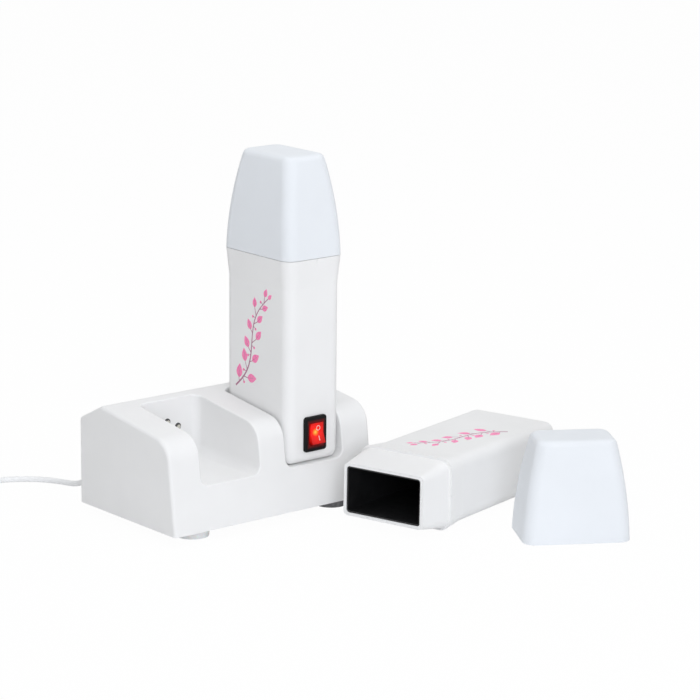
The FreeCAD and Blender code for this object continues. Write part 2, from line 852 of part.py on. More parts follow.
def heater_form(side):
    """The whole body of the heater before it is split: skirt, flare, nose and hollow."""
    body = new_body(f"heater_form_{side}")
    wide = "heater_width + 2 * flare"
    thick = "heater_thickness + 2 * flare"
    shoulder = "2 * (cap_wall + cap_side_gap)"

    def section(name, thickness, width, corner, level):
        return rounded_sketch(body, f"{name}_{side}", thickness, width, corner, level)

    foot = section("foot", "heater_thickness", "heater_width", "heater_corner", "0")
    feature = pad(body, f"skirt_{side}", foot, "flare_start")
    feature = fillet(
        body, f"bottom_round_{side}", feature, "heater_bottom_round",
        lambda edge: near(middle(edge).z, 0))
    loft(body, f"flare_{side}", [
        section("waist", "heater_thickness", "heater_width", "heater_corner", "flare_start"),
        section("ridge", thick, wide, "cap_corner", "ridge_level"),
    ])
    loft(body, f"nose_{side}", [
        section("nose_foot", f"{thick} - {shoulder}", f"{wide} - {shoulder}",
                "cap_corner - cap_wall", "ridge_level"),
        section("nose_tip", "nose_tip_thickness", "nose_tip_width", "nose_corner", "tip_level"),
    ])
    bore = section(
        "bore", "sleeve_thickness + 2 * sleeve_gap", "sleeve_width + 2 * sleeve_gap",
        "mouth_corner + sleeve_wall", "tip_level")
    pocket(body, f"nose_bore_{side}", bore, "tip_level - cavity_top")
    hollow = section(
        "hollow", "heater_thickness - 2 * heater_wall", "heater_width - 2 * heater_wall",
        "heater_corner - heater_wall", "cavity_top")
    pocket(body, f"hollow_{side}_cut", hollow, "cavity_top - heater_wall")
    opening = rounded_sketch(
        body, f"switch_opening_{side}", "switch_body_width + 2 * switch_fit",
        "switch_body_height + 2 * switch_fit", "0.5", "heater_width / 2 + 1", "XZ_Plane",
        "switch_level")
    pocket(body, f"switch_cut_{side}", opening, "heater_wall + 2")
    return body


def heater_shells(side, frame):
    """The two halves of the case, with the bosses and bores of the case screws."""
    inner = "heater_thickness / 2 - heater_wall + case_boss_bite"
    bosses = []
    holes = []
    for index, (y, z) in enumerate(CASE_SCREWS):
        tag = f"{side}_{index}"
        bosses.append(cylinder(
            f"case_boss_{tag}", "case_boss_radius", f"2 * ({inner})", f"-({inner})", y, z, ALONG_X))
        holes.append(cylinder(
            f"case_bore_{tag}", "case_screw_radius", "case_screw_reach + case_head_level",
            "-case_screw_reach", y, z, ALONG_X))
        holes.append(cylinder(
            f"case_well_{tag}", "case_head_radius", "heater_thickness", "case_head_level",
            y, z, ALONG_X))
    for index, (x, z) in enumerate(PAD_SPOTS):
        holes.append(cylinder(
            f"pad_hole_{side}_{index}", "pad_radius + pad_fit", "2 * heater_wall",
            x, "heater_width / 2 - 1.5 * heater_wall", z, ALONG_Y))
    ridge_half = "heater_width / 2 + flare"
    for index, way in enumerate((-1, 1)):
        holes.append(box(
            f"tick_{side}_{index}", "tick_width", "2 * tick_depth", "tick_length",
            "0", f"{way} * ({ridge_half})", "ridge_level - tick_length"))
    whole = cut(f"case_{side}", fuse(f"case_body_{side}", heater_form(side), *bosses), *holes)
    for half, way in (("left", -1), ("right", 1)):
        room = "heater_thickness"
        block = box(
            f"half_{half}_{side}", room, "2 * heater_width", "2 * ridge_level",
            f"{way} * ({room} + parting_gap) / 2", "0", "-heater_width / 2")
        subpart(f"shell_{half}_{side}", frame, common(f"case_{half}_{side}", whole, block))


def case_screws(side, frame):
    screws = []
    for index, (y, z) in enumerate(CASE_SCREWS):
        tag = f"{side}_{index}"
        screws.append(fuse(
            f"case_screw_{tag}",
            cylinder(f"case_shank_{tag}", "case_screw_radius",
                     "case_screw_reach + case_head_level", "-case_screw_reach", y, z, ALONG_X),
            cylinder(f"case_head_{tag}", "case_head_radius", "case_head_height",
                     "case_head_level", y, z, ALONG_X)))
    subpart(f"case_screws_{side}", frame, *screws)


def heating_parts(side, frame):
    body = new_body(f"sleeve_form_{side}")
    outer = rounded_sketch(
        body, f"sleeve_outer_{side}", "sleeve_thickness", "sleeve_width",
        "mouth_corner + sleeve_wall", "sleeve_bottom")
    pad(body, f"sleeve_pad_{side}", outer, "tip_level - sleeve_recess - sleeve_bottom")
    inner = rounded_sketch(
        body, f"sleeve_inner_{side}", "mouth_thickness", "mouth_width", "mouth_corner", "tip_level")
    pocket(body, f"sleeve_bore_{side}", inner, "tip_level - sleeve_bottom - sleeve_floor")
    subpart(f"cartridge_sleeve_{side}", frame, body)
    plate_x = "(sleeve_thickness + plate_thickness) / 2"
    subpart(f"heating_plate_{side}", frame, box(
        f"plate_{side}", "plate_thickness", "plate_width", "plate_length",
        plate_x, "0", "plate_level"))
    subpart(f"heating_element_{side}", frame, box(
        f"element_{side}", "element_thickness", "plate_width - 2 * element_margin",
        "plate_length - 2 * element_margin",
        f"{plate_x} + (plate_thickness + element_thickness) / 2", "0",
        "plate_level + element_margin"))
    subpart(f"thermal_cutout_{side}", frame, fuse(
        f"cutout_form_{side}",
        cylinder(f"cutout_cap_{side}", "cutout_radius", "cutout_cap",
                 "0", "0", "sleeve_bottom - cutout_cap"),
        box(f"cutout_base_{side}", "cutout_width", "cutout_width", "cutout_base",
            "0", "0", "sleeve_bottom - cutout_cap - cutout_base")))


def contact_pads(side, frame):
    pads = []
    for index, (x, z) in enumerate(PAD_SPOTS):
        tag = f"{side}_{index}"
        pads.append(fuse(
            f"contact_pad_{tag}",
            cylinder(f"pad_face_{tag}", "pad_radius", "heater_wall",
                     x, "heater_width / 2 - heater_wall", z, ALONG_Y),
            cylinder(f"pad_flange_{tag}", "pad_radius + pad_flange", "pad_thickness - heater_wall",
                     x, "heater_width / 2 - pad_thickness", z, ALONG_Y)))
    subpart(f"contact_pads_{side}", frame, *pads)


def rocker_switch(side, frame):
    body = new_body(f"switch_form_{side}")

    def section(name, width, height, corner, level):
        return rounded_sketch(
            body, f"{name}_{side}", width, height, corner, level, "XZ_Plane", "switch_level")

    bezel = section(
        "bezel", "bezel_width", "bezel_height", "bezel_corner", "heater_width / 2")
    feature = pad(body, f"bezel_pad_{side}", bezel, "bezel_proud")
    face = -evaluate("heater_width / 2 + bezel_proud")
    fillet(body, f"bezel_round_{side}", feature, "bezel_proud / 2",
           lambda edge: near(middle(edge).y, face))
    block = section(
        "switch_block", "switch_body_width", "switch_body_height", "0.5", "heater_width / 2")
    pad(body, f"switch_block_pad_{side}", block, "switch_body_depth", reverse=True)
    well = section(
        "well", "well_width", "well_height", "0.8", "heater_width / 2 + bezel_proud")
    pocket(body, f"well_cut_{side}", well, "well_depth")
    axle_hole = cylinder(
        f"axle_hole_{side}", "axle_radius + axle_fit", "switch_body_width",
        "-switch_body_width / 2", "pivot_y", "switch_level", ALONG_X)
    subpart(f"switch_housing_{side}", frame, cut(f"switch_housing_form_{side}", body, axle_hole))
    blades = [
        box(f"blade_{side}_{index}", "terminal_width", "terminal_length", "terminal_thickness",
            "0", "-heater_width / 2 + switch_body_depth + terminal_length / 2",
            f"switch_level + {index - 1} * terminal_pitch - terminal_thickness / 2")
        for index in range(3)
    ]
    subpart(f"switch_terminals_{side}", frame, *blades)
    subpart(f"indicator_lamp_{side}", frame, cylinder(
        f"lamp_{side}", "lamp_radius", "lamp_length",
        "-lamp_length / 2", "pivot_y + lamp_depth", "switch_level", ALONG_X))
    rocker(side, frame)


def rocker(side, frame):
    """The V-faced rocker on its axle, drawn level and turned to its pressed-in upper end."""
    body = new_body(f"rocker_form_{side}")
    tip = "-rocker_valley - rocker_half * tan(rocker_tilt * 1 deg)"
    corners = [
        (tip, "-rocker_half"),
        ("rocker_back", "-rocker_back_half"),
        ("rocker_back", "rocker_back_half"),
        (tip, "rocker_half"),
        ("-rocker_valley", "0"),
    ]
    sketch = polygon_sketch(body, f"rocker_profile_{side}", "YZ_Plane", corners)
    pad(body, f"rocker_pad_{side}", sketch, "rocker_width", midplane=True)
    axle_length = "(well_width + switch_body_width) / 2"
    axle = cylinder(
        f"axle_{side}", "axle_radius", axle_length, f"-({axle_length}) / 2", "0", "0", ALONG_X)
    tilt = FreeCAD.Rotation(FreeCAD.Vector(1, 0, 0), -size("rocker_tilt"))
    pivot = FreeCAD.Vector(0, evaluate("pivot_y"), size("switch_level"))
    subpart(f"rocker_{side}", frame.multiply(FreeCAD.Placement(pivot, tilt)),
            fuse(f"rocker_with_axle_{side}", body, axle))


def cap_span(low, high, level, inset):
    """The cap's width at a level: a straight taper with a bulge, less the inset on both sides."""
    share = f"({level}) / cap_height"
    taper = f"({low}) + (({high}) - ({low})) * {share}"
    return f"{taper} + 8 * cap_bulge * {share} * (1 - {share}) - 2 * ({inset})"


def cap_block(name, inset):
    """A tapered block with bulging sides and a rounded top, smaller all round by the inset."""
    body = new_body(name)
    lean = "cap_side_angle * 1 deg"
    radius = f"(cap_top_round - {inset})"
    shoulder = f"cap_height - {inset} - {radius} * (1 - sin({lean}))"

    def section(tag, level, span_level, depth):
        return rounded_sketch(
            body, f"{name}_{tag}",
            cap_span("heater_thickness + 2 * flare", "cap_top_thickness", span_level, depth),
            cap_span("heater_width + 2 * flare", "cap_top_width", span_level, depth),
            f"cap_corner - ({depth})", level)

    levels = (("rim", "0"), ("waist", f"({shoulder}) / 2"), ("shoulder", shoulder))
    loft(body, f"{name}_sides", [section(tag, z, z, inset) for tag, z in levels], ruled=False)
    crown = []
    for tag, angle in (("edge", lean), ("bend", "(cap_side_angle + 90) / 2 * 1 deg"), ("top", "90 deg")):
        level = f"cap_height - {inset} - {radius} * (1 - sin({angle}))"
        depth = f"{inset} + {radius} * (cos({lean}) - cos({angle}))"
        crown.append(section(tag, level, shoulder, depth))
    loft(body, f"{name}_crown", crown, ruled=False)
    return body


def cap(side, frame):
    """A hollow cap whose rim has the outline of the heater's ridge."""
    outside = cap_block(f"cap_outside_{side}", "0")
    inside = cap_block(f"cap_inside_{side}", "cap_wall")
    subpart(f"cap_{side}", frame, cut(f"cap_form_{side}", outside, inside))


def heater(side, frame):
    heater_shells(side, frame)
    case_screws(side, frame)
    heating_parts(side, frame)
    contact_pads(side, frame)
    rocker_switch(side, frame)


# ---------------------------------------------------------------- where each frame stands


def docked():
    """The heater standing in the right bay."""
    return FreeCAD.Placement(
        FreeCAD.Vector(
            evaluate(BAYS["right"]),
            evaluate("-base_depth / 2 + heater_setback + heater_width / 2"),
            evaluate("bay_level + running_gap")),
        FreeCAD.Rotation())


def lying():
    """The heater on the table on its plain broad side, resting on its skirt and its ridge."""
    rise = math.atan2(size("flare"), size("ridge_level") - size("heater_bottom_round"))
    height = (evaluate("heater_thickness") / 2 * math.cos(rise)
              - size("heater_bottom_round") * math.sin(rise))
    down = FreeCAD.Rotation(FreeCAD.Vector(0, 1, 0), 90 - math.degrees(rise))
    turn = FreeCAD.Rotation(FreeCAD.Vector(0, 0, 1), size("lying_angle"))
    spot = FreeCAD.Vector(size("lying_x"), size("lying_y"), height)
    return FreeCAD.Placement(spot, turn.multiply(down))


def loose_cap():
    spot = FreeCAD.Vector(size("loose_cap_x"), size("loose_cap_y"), 0)
    return FreeCAD.Placement(
        spot, FreeCAD.Rotation(FreeCAD.Vector(0, 0, 1), size("loose_cap_angle")))


CORD_PARTS = (
    "strain_relief", "mains_cord", "cord_coil", "cord_tie", "plug_lead", "plug_body", "plug_pins")


def move_to_origin():
    """Puts the origin on the table under the middle of the box round everything but the cord."""
    room = FreeCAD.BoundBox()
    for obj in subparts:
        if obj.Label not in CORD_PARTS:
            room.add(obj.Shape.optimalBoundingBox())
    shift = FreeCAD.Vector(-room.Center.x, -room.Center.y, 0)
    print(f"origin moved by {shift.x:.4f} {shift.y:.4f} {shift.z:.4f}")
    print(f"lowest point {room.ZMin:.4f}, size {room.XLength:.2f} {room.YLength:.2f} {room.ZLength:.2f}")
    for obj in subparts:
        obj.Placement = FreeCAD.Placement(shift, FreeCAD.Rotation()).multiply(obj.Placement)


def check_parts():
    doc.recompute()
    faults = [obj.Name for obj in doc.Objects if "Invalid" in obj.State or "Error" in obj.State]
    for obj in subparts:
        if obj.Shape.isNull() or not obj.Shape.isValid() or not obj.Shape.Solids:
            faults.append(f"shape of {obj.Label}")
    if faults:
        raise ValueError(f"failed: {faults}")


def export_parts():
    os.makedirs("parts", exist_ok=True)
    for obj in subparts:
        obj.Shape.exportStep(f"parts/{obj.Label}.step")
        print(f"{obj.Label}: {len(obj.Shape.Solids)} solids, {obj.Shape.Volume / 1000:.2f} cm3")


def main():
    dock_housing()
    dock_underside()
    dock_contacts()
    dock_wiring()
    mains_cord()
    standing = docked()
    heater("a", standing)
    seat = FreeCAD.Placement(
        FreeCAD.Vector(0, 0, evaluate("ridge_level + cap_seat_gap")), FreeCAD.Rotation())
    cap("a", standing.multiply(seat))
    heater("b", lying())
    cap("b", loose_cap())
    check_parts()
    move_to_origin()
    export_parts()


main()
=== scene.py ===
import json
import math

import bmesh
import bpy
from mathutils import Matrix, Vector


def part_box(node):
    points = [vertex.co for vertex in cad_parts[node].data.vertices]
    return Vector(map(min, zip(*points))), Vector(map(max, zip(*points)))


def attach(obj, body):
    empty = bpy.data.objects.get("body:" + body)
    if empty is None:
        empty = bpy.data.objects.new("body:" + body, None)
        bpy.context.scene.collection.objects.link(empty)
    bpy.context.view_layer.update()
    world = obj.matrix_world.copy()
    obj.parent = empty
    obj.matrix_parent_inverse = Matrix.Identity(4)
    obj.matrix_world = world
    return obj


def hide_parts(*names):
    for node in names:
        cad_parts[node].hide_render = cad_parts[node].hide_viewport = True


# The looks of a twin dock for roll-on wax heaters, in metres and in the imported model's frame.

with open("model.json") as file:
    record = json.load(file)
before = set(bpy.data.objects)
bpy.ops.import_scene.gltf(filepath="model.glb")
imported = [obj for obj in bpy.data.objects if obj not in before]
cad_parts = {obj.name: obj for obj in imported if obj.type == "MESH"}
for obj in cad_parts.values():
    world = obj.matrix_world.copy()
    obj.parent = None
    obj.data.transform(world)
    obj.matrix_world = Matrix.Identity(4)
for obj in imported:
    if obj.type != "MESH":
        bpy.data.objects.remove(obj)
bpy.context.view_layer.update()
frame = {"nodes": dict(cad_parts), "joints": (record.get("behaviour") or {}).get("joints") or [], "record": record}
record = frame["record"]

MM = 0.001
UP = Vector((0, 0, 1))


# ---------------------------------------------------------------- short calls used throughout


def placed(name, data):
    """A new object with this data, in the scene."""
    made = bpy.data.objects.new(name, data)
    bpy.context.scene.collection.objects.link(made)
    return made


def outward(name, mesh):
    """A bmesh with its faces turned outwards, as mesh data."""
    bmesh.ops.recalc_face_normals(mesh, faces=mesh.faces)
    data = bpy.data.meshes.new(name)
    mesh.to_mesh(data)
    mesh.free()
    return data


def between(ends, share):
    return ends[0] + (ends[1] - ends[0]) * share


def spoke(angle):
    """The direction in the plane at an angle."""
    return Vector((math.cos(angle), math.sin(angle)))


def turned(direction, degrees):
    """A direction in the plane, turned to the left."""
    cosine, sine = spoke(math.radians(degrees))
    return Vector((
        direction.x * cosine - direction.y * sine,
        direction.x * sine + direction.y * cosine))


def named(items, name):
    return next(item for item in items if item["name"] == name)


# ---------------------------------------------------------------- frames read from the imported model

HEATER_THICKNESS = 46.7 * MM
ROCKER_TILT = math.radians(11)
ROCKER_VALLEY = 2.6 * MM


def middle_of(*nodes):
    """The middle in plan, and the underside, of the box round some CAD nodes."""
    lows, highs = zip(*(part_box(node) for node in nodes))
    low = [min(corner[axis] for corner in lows) for axis in range(3)]
    high = [max(corner[axis] for corner in highs) for axis in range(3)]
    return Vector(((low[0] + high[0]) / 2, (low[1] + high[1]) / 2, low[2]))


def dock_frame():
    """Origin on the table under the middle of the dock, +X along its front, +Y to its back."""
    spot = middle_of("base_housing")
    spot.z = 0
    return Matrix.Translation(spot)


def standing_frame():
    """The docked heater's frame: origin at the middle of its bottom end, +Z to its mouth."""
    return Matrix.Translation(middle_of("shell_left_a", "shell_right_a"))


def lying_frame():
    """The loose heater's frame, from its mouth's mount and its rocker's axle."""
    mouth = named(record["mounts"], "mouth_b")
    along = Vector(mouth["axis"]).normalized()
    across = Vector(named(frame["joints"], "rocker_b_tilt")["axis"]).normalized()
    side = along.cross(across)
    facing = Matrix((across, side, along)).transposed().to_4x4()
    low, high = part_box("shell_left_a")
    return Matrix.Translation(Vector(mouth["pos_m"]) - along * (high.z - low.z)) @ facing


DOCK = dock_frame()
HEATERS = {"a": standing_frame(), "b": lying_frame()}


def rocker_frame(side):
    """A rocker's frame at rest: origin on its axle, +X along it, turned to its pressed-in end."""
    axle = Vector(named(frame["joints"], f"rocker_{side}_tilt")["pos_m"])
    square = HEATERS[side].to_3x3().to_4x4()
    return Matrix.Translation(axle) @ square @ Matrix.Rotation(-ROCKER_TILT, 4, "X")


ROCKERS = {side: rocker_frame(side) for side in HEATERS}


# ---------------------------------------------------------------- camera

CAMERA_SPOT = Vector((-1.1696, -1.52195, 0.5719))
CAMERA_YAW = math.radians(40.048)
CAMERA_PITCH = math.radians(13.477)
CAMERA_ROLL = math.radians(0.57)
CAMERA_LENS = 147.56
CAMERA_SENSOR = 36
CAMERA_NEAR = 0.05


def make_camera():
    data = bpy.data.cameras.new("camera")
    data.lens = CAMERA_LENS
    data.sensor_width = CAMERA_SENSOR
    data.clip_start = CAMERA_NEAR
    camera = placed("camera", data)
    yaw = Matrix.Rotation(-CAMERA_YAW, 4, "Z")
    pitch = Matrix.Rotation(math.pi / 2 - CAMERA_PITCH, 4, "X")
    roll = Matrix.Rotation(CAMERA_ROLL, 4, "Z")
    camera.matrix_world = DOCK @ Matrix.Translation(CAMERA_SPOT) @ yaw @ pitch @ roll
    bpy.context.scene.camera = camera


# ---------------------------------------------------------------- material nodes

# Where noise mostly lies.
NOISE_SPAN = (0.3, 0.7)
# The places of a colour Mix node's sockets.
MIX_FACTOR, MIX_FIRST, MIX_SECOND = 0, 6, 7
MIX_RESULT = 2


class Shader:
    """A material with one Principled shader and short calls for the nodes behind it."""

    def __init__(self, name, colour, roughness, metallic=0.0):
        self.material = bpy.data.materials.new(name)
        self.material.use_nodes = True
        self.tree = self.material.node_tree
        self.principled = self.tree.nodes["Principled BSDF"]
        self.set("Base Color", (*colour, 1))
        self.set("Roughness", roughness)
        self.set("Metallic", metallic)
        self.place = self.node("ShaderNodeTexCoord").outputs["Object"]

    def node(self, kind, **settings):
        made = self.tree.nodes.new(kind)
        for name, value in settings.items():
            setattr(made, name, value)
        return made

    def set(self, socket, value):
        self.principled.inputs[socket].default_value = value

    def link(self, output, socket):
        self.tree.links.new(output, self.principled.inputs[socket])

    def fill(self, socket, value):
        """Links an output to a socket, or sets the socket to a plain value."""
        if isinstance(value, bpy.types.NodeSocket):
            self.tree.links.new(value, socket)
        else:
            socket.default_value = value

    def feed(self, node, **inputs):
        """Fills a node's inputs; an underscore in a name stands for a space."""
        for name, value in inputs.items():
            self.fill(node.inputs[name.replace("_", " ")], value)
        return node

    def stretched(self, scale):
        """The object's coordinates, stretched by a scale for each axis."""
        mapping = self.node("ShaderNodeMapping")
        return self.feed(mapping, Vector=self.place, Scale=scale).outputs["Vector"]

    def noise(self, scale, detail, place=None):
        node = self.node("ShaderNodeTexNoise")
        self.feed(node, Vector=place or self.place, Scale=scale, Detail=detail)
        return node.outputs["Fac"]

    def spread(self, factor, low=0.0, high=1.0, span=NOISE_SPAN):
        """Carries a factor from its span over to low..high."""
        node = self.node("ShaderNodeMapRange")
        self.feed(node, Value=factor, From_Min=span[0], From_Max=span[1], To_Min=low, To_Max=high)
        return node.outputs["Result"]

    def mix(self, factor, first, second):
        node = self.node("ShaderNodeMix", data_type="RGBA")
        self.fill(node.inputs[MIX_FACTOR], factor)
        self.fill(node.inputs[MIX_FIRST], (*first, 1))
        self.fill(node.inputs[MIX_SECOND], (*second, 1))
        return node.outputs[MIX_RESULT]

    def ramp(self, factor, steps):
        """Carries a factor to colours, from pairs of place and colour."""
        node = self.node("ShaderNodeValToRGB")
        self.fill(node.inputs["Fac"], factor)
        stops = node.color_ramp.elements
        while len(stops) < len(steps):
            stops.new(1)
        for stop, (place, colour) in zip(stops, steps):
            stop.position = place
            stop.color = (*colour, 1)
        return node.outputs["Color"]

    def bump(self, height, distance, strength=1.0, under=None):
        node = self.node("ShaderNodeBump")
        self.feed(node, Height=height, Distance=distance, Strength=strength)
        if under is not None:
            self.feed(node, Normal=under)
        return node.outputs["Normal"]

    def mottled(self, first, second, scale, detail):
        """Lets the colour wander between two."""
        self.link(self.mix(self.spread(self.noise(scale, detail)), first, second), "Base Color")

    def uneven(self, low, high, scale, detail):
        """Lets the roughness wander between two values."""
        self.link(self.spread(self.noise(scale, detail), low, high), "Roughness")

    def grained(self, scale, detail, distance, strength=1.0, under=None):
        """Gives the surface a fine relief of noise, on top of another relief or alone."""
        self.link(self.bump(self.noise(scale, detail), distance, strength, under), "Normal")


def shade(colour, share):
    return tuple(channel * share for channel in colour)


def greyed(colour, grey, share):
    """A colour with a share of a grey in it."""
    return tuple(channel * (1 - share) + grey * share for channel in colour)


# ---------------------------------------------------------------- moulded plastics

FLOW_SCALE = 22
GLOSS_SCALE = 160
GLOSS_SWING = 0.14
SINK_SCALE = 38
SINK_DEPTH = 0.12 * MM
SINK_STRENGTH = 0.35
PLASTIC_IOR = 1.5

# By material slot: name, colour, roughness, specular level, size and depth of the grain, and the
# share of the colour that is left where the flow mottling is darkest.
PLASTICS = {
    "case_white": ("case_plastic", (0.86, 0.86, 0.857), 0.56, 0.22, 0.5 * MM, 0.004 * MM, 0.97),
    "cap_white": ("cap_plastic", (0.807, 0.835, 0.867), 0.56, 0.22, 0.5 * MM, 0.004 * MM, 0.97),
    "cover_white": ("cover_plastic", (0.74, 0.745, 0.75), 0.6, 0.5, 0.8 * MM, 0.03 * MM, 0.94),
    "cord_sheath": ("cord_plastic", (0.88, 0.885, 0.89), 0.52, 0.5, 0.7 * MM, 0.015 * MM, 0.93),
    "sleeve_black": ("sleeve_plastic", (0.008, 0.008, 0.009), 0.5, 0.5, 0.9 * MM, 0.02 * MM, 0.7),
    "switch_black": (
        "switch_plastic", (0.005, 0.0052, 0.006), 0.42, 0.14, 0.4 * MM, 0.008 * MM, 0.75),
    "block_black": ("block_plastic", (0.08, 0.08, 0.083), 0.48, 0.5, 0.6 * MM, 0.02 * MM, 0.8),
    "block_grey": ("terminal_plastic", (0.46, 0.46, 0.44), 0.5, 0.5, 0.7 * MM, 0.02 * MM, 0.9),
    "lead_insulation": ("wire_plastic", (0.1, 0.2, 0.45), 0.45, 0.5, 1.2 * MM, 0.02 * MM, 0.85),
}


def moulded_plastic(name, colour, roughness, specular, grain_size, grain_depth, mottle):
    """The shader of a plastic: faint flow mottling, uneven gloss, slow sink waves, fine grain."""
    shader = Shader(name, colour, roughness)
    shader.mottled(shade(colour, mottle), colour, FLOW_SCALE, detail=3)
    shader.uneven(
        roughness * (1 - GLOSS_SWING), roughness * (1 + GLOSS_SWING), GLOSS_SCALE, detail=4)
    waves = shader.bump(shader.noise(SINK_SCALE, detail=1), SINK_DEPTH, SINK_STRENGTH)
    shader.grained(1 / grain_size, detail=2, distance=grain_depth, under=waves)
    shader.set("IOR", PLASTIC_IOR)
    shader.set("Specular IOR Level", specular)
    return shader


# ---------------------------------------------------------------- other materials


def rubber(name, colour):
    """Soft rubber with a bloom of dust and a matt, finely pitted skin."""
    shader = Shader(name, colour, roughness=0.72)
    shader.mottled(colour, greyed(colour, grey=0.62, share=0.3), scale=210, detail=5)
    shader.uneven(low=0.62, high=0.85, scale=900, detail=2)
    pits = shader.node("ShaderNodeTexVoronoi")
    shader.feed(pits, Vector=shader.place, Scale=1400.0)
    shader.link(shader.bump(pits.outputs["Distance"], distance=0.03 * MM, strength=0.8), "Normal")
    return shader.material


def pale_foot():
    """The pale, slightly translucent feet."""
    shader = Shader("pale_foot", (0.78, 0.79, 0.785), roughness=0.5)
    shader.mottled((0.74, 0.75, 0.745), (0.82, 0.83, 0.825), scale=260, detail=4)
    shader.grained(scale=1500, detail=3, distance=0.02 * MM, strength=0.7)
    shader.set("Subsurface Weight", 0.15)
    shader.set("Subsurface Scale", 1.5 * MM)
    return shader.material


def brushed(name, colour, roughness, lines):
    """Worked metal: fine lines along one axis over a slow change of gloss."""
    shader = Shader(name, colour, roughness, metallic=1.0)
    strokes = shader.noise(scale=60, detail=4, place=shader.stretched(lines))
    shader.link(shader.spread(strokes, roughness * 0.7, roughness * 1.35), "Roughness")
    shader.link(shader.mix(shader.spread(strokes), shade(colour, 0.85), colour), "Base Color")
    shader.link(shader.bump(strokes, distance=0.01 * MM, strength=0.6), "Normal")
    return shader.material


def bright_metal(name, colour):
    """Plated metal with faint haze and small marks."""
    shader = Shader(name, colour, roughness=0.18, metallic=1.0)
    shader.mottled(shade(colour, 0.88), colour, scale=420, detail=5)
    shader.uneven(low=0.12, high=0.32, scale=420, detail=5)
    shader.grained(scale=2600, detail=2, distance=0.004 * MM, strength=0.7)
    return shader.material


def silicone():
    """The heating element's woven silicone mat."""
    shader = Shader("silicone", (0.42, 0.1, 0.045), roughness=0.6)
    weave = shader.node("ShaderNodeTexWave", bands_direction="DIAGONAL")
    shader.feed(weave, Vector=shader.place, Scale=420.0, Distortion=0.6)
    threads = weave.outputs["Fac"]
    shader.link(shader.mix(threads, (0.36, 0.08, 0.035), (0.5, 0.14, 0.06)), "Base Color")
    shader.link(shader.bump(threads, distance=0.06 * MM, strength=0.7), "Normal")
    return shader.material


def lamp_glass():
    """The small neon tube behind the rocker."""
    shader = Shader("lamp_glass", (1.0, 0.72, 0.5), roughness=0.08)
    shader.uneven(low=0.05, high=0.16, scale=700, detail=3)
    shader.set("Transmission Weight", 0.8)
    shader.set("IOR", 1.47)
    shader.set("Emission Color", (1.0, 0.3, 0.08, 1))
    shader.set("Emission Strength", 0.6)
    return shader.material


ROCKER_RED = (0.6, 0.006, 0.004)
# The glow's middle in the rocker's frame, how far it reaches, and its colours by share of that.
GLOW_SPOT = Vector((-1.3, -2.6, 1.0)) * MM
GLOW_REACH = 8.5 * MM
GLOW_STEPS = (
    (0.035, (0.95, 0.58, 0.06)), (0.18, (0.85, 0.22, 0.02)), (0.34, (0.5, 0.008, 0.003)),
    (0.6, (0.42, 0.005, 0.003)), (1.0, (0.05, 0.0, 0.0)))


def rocker_plastic(name, lamp=None):
    """Glossy red plastic; a lit rocker glows from its lamp's place outwards."""
    shader = Shader(name, ROCKER_RED, roughness=0.16)
    shader.mottled(shade(ROCKER_RED, 0.75), ROCKER_RED, scale=120, detail=2)
    shader.uneven(low=0.1, high=0.24, scale=300, detail=3)
    shader.grained(scale=180, detail=1, distance=0.05 * MM, strength=0.5)
    shader.set("Specular IOR Level", 0.25)
    if lamp is not None:
        reach = shader.node("ShaderNodeVectorMath", operation="DISTANCE")
        shader.fill(reach.inputs[0], tuple(lamp))
        shader.fill(reach.inputs[1], shader.place)
        far = shader.spread(reach.outputs["Value"], span=(0, GLOW_REACH))
        shader.link(shader.ramp(far, GLOW_STEPS), "Emission Color")
        shader.set("Emission Strength", 1.0)
    return shader.material


# The dim red that the lit rocker throws on its housing. It is full up to a half width and a half
# height from the axle's middle, and gone at SPILL_END times those; the depth doesn't count.
SPILL_RED = (0.13, 0.001, 0.001)
SPILL_SIZE = (5.9 * MM, 1.0, 7.9 * MM)
SPILL_END = 1.3


def lit_housing():
    """The switch's black plastic with the lit rocker's light on it."""
    name, *looks = PLASTICS["switch_black"]
    shader = moulded_plastic(f"{name}_lit", *looks)
    axle = tuple(ROCKERS["a"].translation)
    scaled = shader.node("ShaderNodeMapping", vector_type="TEXTURE")
    shader.feed(scaled, Vector=shader.place, Location=axle, Scale=SPILL_SIZE)
    shares = shader.node("ShaderNodeVectorMath", operation="ABSOLUTE")
    shader.fill(shares.inputs[0], scaled.outputs["Vector"])
    parts = shader.feed(shader.node("ShaderNodeSeparateXYZ"), Vector=shares.outputs["Vector"])
    largest = shader.node("ShaderNodeMath", operation="MAXIMUM")
    shader.fill(largest.inputs[0], parts.outputs["X"])
    shader.fill(largest.inputs[1], parts.outputs["Z"])
    faded = shader.spread(largest.outputs["Value"], span=(1, SPILL_END))
    shader.link(shader.mix(faded, SPILL_RED, (0, 0, 0)), "Emission Color")
    shader.set("Emission Strength", 1.0)
    return shader.material


def print_ink(name, colour):
    """Pad-printed ink, a little uneven in its cover."""
    shader = Shader(name, colour, roughness=0.4)
    thin = greyed(colour, grey=0.85, share=0.18)
    shader.mottled(shade(colour, 0.94), thin, scale=520, detail=4)
    shader.grained(scale=2200, detail=2, distance=0.004 * MM, strength=0.6)
    return shader.material


def mark_ink_with_painted_glow():
    """The white on and off marks, with painted red glow of the lit rocker mixed unevenly into their colour."""
    # The pink in these colours is painted glow from the lit rocker, put on both rockers' marks alike.
    shader = Shader("mark_ink_with_painted_glow", (0.85, 0.6, 0.55), roughness=0.35)
    shader.mottled((0.8, 0.4, 0.35), (0.9, 0.7, 0.65), scale=800, detail=3)
    return shader.material


# ---------------------------------------------------------------- finishes on the CAD nodes


